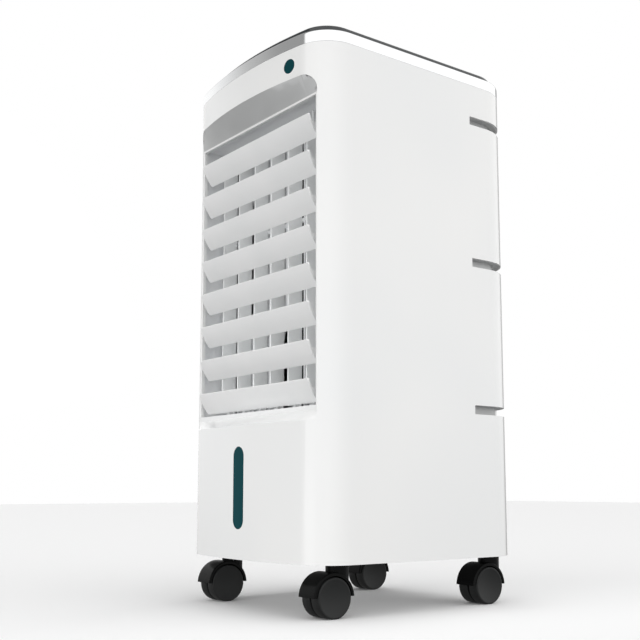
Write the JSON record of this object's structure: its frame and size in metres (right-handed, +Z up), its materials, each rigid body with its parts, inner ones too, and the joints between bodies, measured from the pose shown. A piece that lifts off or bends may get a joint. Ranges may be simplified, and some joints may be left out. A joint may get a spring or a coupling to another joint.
{
  "type": "evaporative cooler",
  "caption": "Tower evaporative air cooler with louvred front outlet, swinging vanes, rear water drawer and filter, on swivel casters.",
  "frame": {"origin": "on the floor under the middle of the cabinet", "axes": "+Z up, the louvred front faces -Y, +X to the right of someone facing the front"},
  "size_m": [0.252, 0.2862, 0.5837],
  "materials": {
    "white_abs": "gloss moulded",
    "inner_white": "satin moulded",
    "louvre_white": "gloss moulded",
    "vane_white": "satin moulded",
    "link_white": "satin moulded",
    "chromed_abs": "mirror plated",
    "dark_cover": "high gloss",
    "button_dark": "satin",
    "teal_lens": "gloss tinted",
    "groove_grey": "satin",
    "circuit_board": "solder mask",
    "motor_steel": "zinc plated",
    "bearing_steel": "ground",
    "screw_steel": "zinc plated",
    "rotor_black": "satin moulded",
    "pad_paper": "corrugated kraft",
    "hose_vinyl": "soft vinyl",
    "tank_plastic": "translucent moulded",
    "pump_black": "satin moulded",
    "mesh_grey": "woven mesh",
    "gland_rubber": "matte",
    "caster_black": "gloss moulded",
    "wheel_black": "satin moulded"
  },
  "bodies": {
    "cabinet": {"main_shell": "white_abs", "rear_panel": "white_abs", "base_tray": "white_abs", "deck": "inner_white", "trim_band": "chromed_abs", "top_cover": "dark_cover", "control_board": "circuit_board", "ir_window": "teal_lens", "level_window": "teal_lens", "groove_liners": "groove_grey", "louvre_frame": "inner_white", "outlet_grille": "inner_white", "swing_motor": "motor_steel", "fan_scroll": "inner_white", "fan_motor": "motor_steel", "fan_bearing": "bearing_steel", "cooling_pad": "pad_paper", "pad_frame": "inner_white", "water_trough": "inner_white", "riser_hose": "hose_vinyl", "cord_gland": "gland_rubber", "screws": "screw_steel", "caster_sockets": "bearing_steel"},
    "louvre_1": {"louvre_1": "louvre_white"},
    "louvre_2": {"louvre_2": "louvre_white"},
    "louvre_3": {"louvre_3": "louvre_white"},
    "louvre_4": {"louvre_4": "louvre_white"},
    "louvre_5": {"louvre_5": "louvre_white"},
    "louvre_6": {"louvre_6": "louvre_white"},
    "louvre_7": {"louvre_7": "louvre_white"},
    "louvre_8": {"louvre_8": "louvre_white"},
    "louvre_link": {"louvre_link": "link_white"},
    "vane_1": {"vane_1": "vane_white"},
    "vane_2": {"vane_2": "vane_white"},
    "vane_3": {"vane_3": "vane_white"},
    "vane_4": {"vane_4": "vane_white"},
    "vane_5": {"vane_5": "vane_white"},
    "vane_6": {"vane_6": "vane_white"},
    "vane_7": {"vane_7": "vane_white"},
    "vane_link": {"vane_link": "link_white"},
    "swing_crank": {"swing_crank": "link_white"},
    "fan": {"fan_rotor": "rotor_black"},
    "tank_drawer": {"water_tank": "tank_plastic", "water_pump": "pump_black"},
    "filter": {"filter_frame": "white_abs", "filter_mesh": "mesh_grey"},
    "button_1": {"button_1": "button_dark"},
    "button_2": {"button_2": "button_dark"},
    "button_3": {"button_3": "button_dark"},
    "button_4": {"button_4": "button_dark"},
    "button_5": {"button_5": "button_dark"},
    "caster_front_left": {"caster_hood_front_left": "caster_black"},
    "wheels_front_left": {"caster_wheels_front_left": "wheel_black"},
    "caster_front_right": {"caster_hood_front_right": "caster_black"},
    "wheels_front_right": {"caster_wheels_front_right": "wheel_black"},
    "caster_rear_left": {"caster_hood_rear_left": "caster_black"},
    "wheels_rear_left": {"caster_wheels_rear_left": "wheel_black"},
    "caster_rear_right": {"caster_hood_rear_right": "caster_black"},
    "wheels_rear_right": {"caster_wheels_rear_right": "wheel_black"}
  },
  "joints": [
    {"name": "louvre_1_tilt", "type": "hinge", "parent": "cabinet", "child": "louvre_1", "pos_m": [0, -0.11701, 0.4795], "axis": [1, 0, 0], "range_deg": [-34, 15]},
    {"name": "louvre_2_tilt", "type": "hinge", "parent": "cabinet", "child": "louvre_2", "pos_m": [0, -0.11701, 0.4418], "axis": [1, 0, 0], "range_deg": [-34, 15]},
    {"name": "louvre_3_tilt", "type": "hinge", "parent": "cabinet", "child": "louvre_3", "pos_m": [0, -0.11701, 0.4041], "axis": [1, 0, 0], "range_deg": [-34, 15]},
    {"name": "louvre_4_tilt", "type": "hinge", "parent": "cabinet", "child": "louvre_4", "pos_m": [0, -0.11701, 0.3664], "axis": [1, 0, 0], "range_deg": [-34, 15]},
    {"name": "louvre_5_tilt", "type": "hinge", "parent": "cabinet", "child": "louvre_5", "pos_m": [0, -0.11701, 0.3287], "axis": [1, 0, 0], "range_deg": [-34, 15]},
    {"name": "louvre_6_tilt", "type": "hinge", "parent": "cabinet", "child": "louvre_6", "pos_m": [0, -0.11701, 0.291], "axis": [1, 0, 0], "range_deg": [-34, 15]},
    {"name": "louvre_7_tilt", "type": "hinge", "parent": "cabinet", "child": "louvre_7", "pos_m": [0, -0.11701, 0.2533], "axis": [1, 0, 0], "range_deg": [-34, 15]},
    {"name": "louvre_8_tilt", "type": "hinge", "parent": "cabinet", "child": "louvre_8", "pos_m": [0, -0.11701, 0.2156], "axis": [1, 0, 0], "range_deg": [-34, 15]},
    {"name": "louvre_link_pivot", "type": "hinge", "parent": "louvre_1", "child": "louvre_link", "pos_m": [0.0976, -0.10901, 0.4795], "axis": [1, 0, 0], "range_deg": [-15, 34]},
    {"name": "vane_1_swing", "type": "hinge", "parent": "cabinet", "child": "vane_1", "pos_m": [-0.0972, -0.09601, 0.354], "axis": [0, 0, 1], "range_deg": [-30, 30]},
    {"name": "vane_2_swing", "type": "hinge", "parent": "cabinet", "child": "vane_2", "pos_m": [-0.0648, -0.09601, 0.354], "axis": [0, 0, 1], "range_deg": [-30, 30]},
    {"name": "vane_3_swing", "type": "hinge", "parent": "cabinet", "child": "vane_3", "pos_m": [-0.0324, -0.09601, 0.354], "axis": [0, 0, 1], "range_deg": [-30, 30]},
    {"name": "vane_4_swing", "type": "hinge", "parent": "cabinet", "child": "vane_4", "pos_m": [0, -0.09601, 0.354], "axis": [0, 0, 1], "range_deg": [-30, 30]},
    {"name": "vane_5_swing", "type": "hinge", "parent": "cabinet", "child": "vane_5", "pos_m": [0.0324, -0.09601, 0.354], "axis": [0, 0, 1], "range_deg": [-30, 30]},
    {"name": "vane_6_swing", "type": "hinge", "parent": "cabinet", "child": "vane_6", "pos_m": [0.0648, -0.09601, 0.354], "axis": [0, 0, 1], "range_deg": [-30, 30]},
    {"name": "vane_7_swing", "type": "hinge", "parent": "cabinet", "child": "vane_7", "pos_m": [0.0972, -0.09601, 0.354], "axis": [0, 0, 1], "range_deg": [-30, 30]},
    {"name": "vane_link_pivot", "type": "hinge", "parent": "vane_1", "child": "vane_link", "pos_m": [-0.0972, -0.08901, 0.1997], "axis": [0, 0, 1], "range_deg": [-30, 30]},
    {"name": "swing_crank_turn", "type": "hinge", "parent": "cabinet", "child": "swing_crank", "pos_m": [0.0162, -0.09601, 0.1965], "axis": [0, 0, 1], "range_deg": [-30, 30]},
    {"name": "fan_spin", "type": "hinge", "parent": "cabinet", "child": "fan", "pos_m": [0, -0.01201, 0.35275], "axis": [0, 0, 1], "continuous": true},
    {"name": "tank_slide", "type": "slide", "parent": "cabinet", "child": "tank_drawer", "axis": [0, 1, 0], "range_m": [0, 0.24]},
    {"name": "filter_slide", "type": "slide", "parent": "cabinet", "child": "filter", "axis": [0, 1, 0], "range_m": [0, 0.06]},
    {"name": "button_1_press", "type": "slide", "parent": "cabinet", "child": "button_1", "axis": [0, 0, -1], "range_m": [0, 0.0008], "stiffness_N_per_m": 300, "springref_m": -0.001},
    {"name": "button_2_press", "type": "slide", "parent": "cabinet", "child": "button_2", "axis": [0, 0, -1], "range_m": [0, 0.0008], "stiffness_N_per_m": 300, "springref_m": -0.001},
    {"name": "button_3_press", "type": "slide", "parent": "cabinet", "child": "button_3", "axis": [0, 0, -1], "range_m": [0, 0.0008], "stiffness_N_per_m": 300, "springref_m": -0.001},
    {"name": "button_4_press", "type": "slide", "parent": "cabinet", "child": "button_4", "axis": [0, 0, -1], "range_m": [0, 0.0008], "stiffness_N_per_m": 300, "springref_m": -0.001},
    {"name": "button_5_press", "type": "slide", "parent": "cabinet", "child": "button_5", "axis": [0, 0, -1], "range_m": [0, 0.0008], "stiffness_N_per_m": 300, "springref_m": -0.001},
    {"name": "caster_front_left_swivel", "type": "hinge", "parent": "cabinet", "child": "caster_front_left", "pos_m": [-0.0953, -0.09, 0.051], "axis": [0, 0, 1], "continuous": true},
    {"name": "wheels_front_left_roll", "type": "hinge", "parent": "caster_front_left", "child": "wheels_front_left", "pos_m": [-0.0953, -0.1027, 0.0195], "axis": [1, 0, 0], "continuous": true},
    {"name": "caster_front_right_swivel", "type": "hinge", "parent": "cabinet", "child": "caster_front_right", "pos_m": [0.0953, -0.09, 0.051], "axis": [0, 0, 1], "continuous": true},
    {"name": "wheels_front_right_roll", "type": "hinge", "parent": "caster_front_right", "child": "wheels_front_right", "pos_m": [0.0953, -0.1027, 0.0195], "axis": [1, 0, 0], "continuous": true},
    {"name": "caster_rear_left_swivel", "type": "hinge", "parent": "cabinet", "child": "caster_rear_left", "pos_m": [-0.0953, 0.118, 0.051], "axis": [0, 0, 1], "continuous": true},
    {"name": "wheels_rear_left_roll", "type": "hinge", "parent": "caster_rear_left", "child": "wheels_rear_left", "pos_m": [-0.0953, 0.1053, 0.0195], "axis": [1, 0, 0], "continuous": true},
    {"name": "caster_rear_right_swivel", "type": "hinge", "parent": "cabinet", "child": "caster_rear_right", "pos_m": [0.0953, 0.118, 0.051], "axis": [0, 0, 1], "continuous": true},
    {"name": "wheels_rear_right_roll", "type": "hinge", "parent": "caster_rear_right", "child": "wheels_rear_right", "pos_m": [0.0953, 0.1053, 0.0195], "axis": [1, 0, 0], "continuous": true}
  ],
  "couplings": [
    {"joint": "louvre_2_tilt", "follows": "louvre_1_tilt", "ratio": 1},
    {"joint": "louvre_3_tilt", "follows": "louvre_1_tilt", "ratio": 1},
    {"joint": "louvre_4_tilt", "follows": "louvre_1_tilt", "ratio": 1},
    {"joint": "louvre_5_tilt", "follows": "louvre_1_tilt", "ratio": 1},
    {"joint": "louvre_6_tilt", "follows": "louvre_1_tilt", "ratio": 1},
    {"joint": "louvre_7_tilt", "follows": "louvre_1_tilt", "ratio": 1},
    {"joint": "louvre_8_tilt", "follows": "louvre_1_tilt", "ratio": 1},
    {"joint": "louvre_link_pivot", "follows": "louvre_1_tilt", "ratio": -1},
    {"joint": "vane_2_swing", "follows": "vane_1_swing", "ratio": 1},
    {"joint": "vane_3_swing", "follows": "vane_1_swing", "ratio": 1},
    {"joint": "vane_4_swing", "follows": "vane_1_swing", "ratio": 1},
    {"joint": "vane_5_swing", "follows": "vane_1_swing", "ratio": 1},
    {"joint": "vane_6_swing", "follows": "vane_1_swing", "ratio": 1},
    {"joint": "vane_7_swing", "follows": "vane_1_swing", "ratio": 1},
    {"joint": "vane_link_pivot", "follows": "vane_1_swing", "ratio": -1},
    {"joint": "swing_crank_turn", "follows": "vane_1_swing", "ratio": 1}
  ]
}
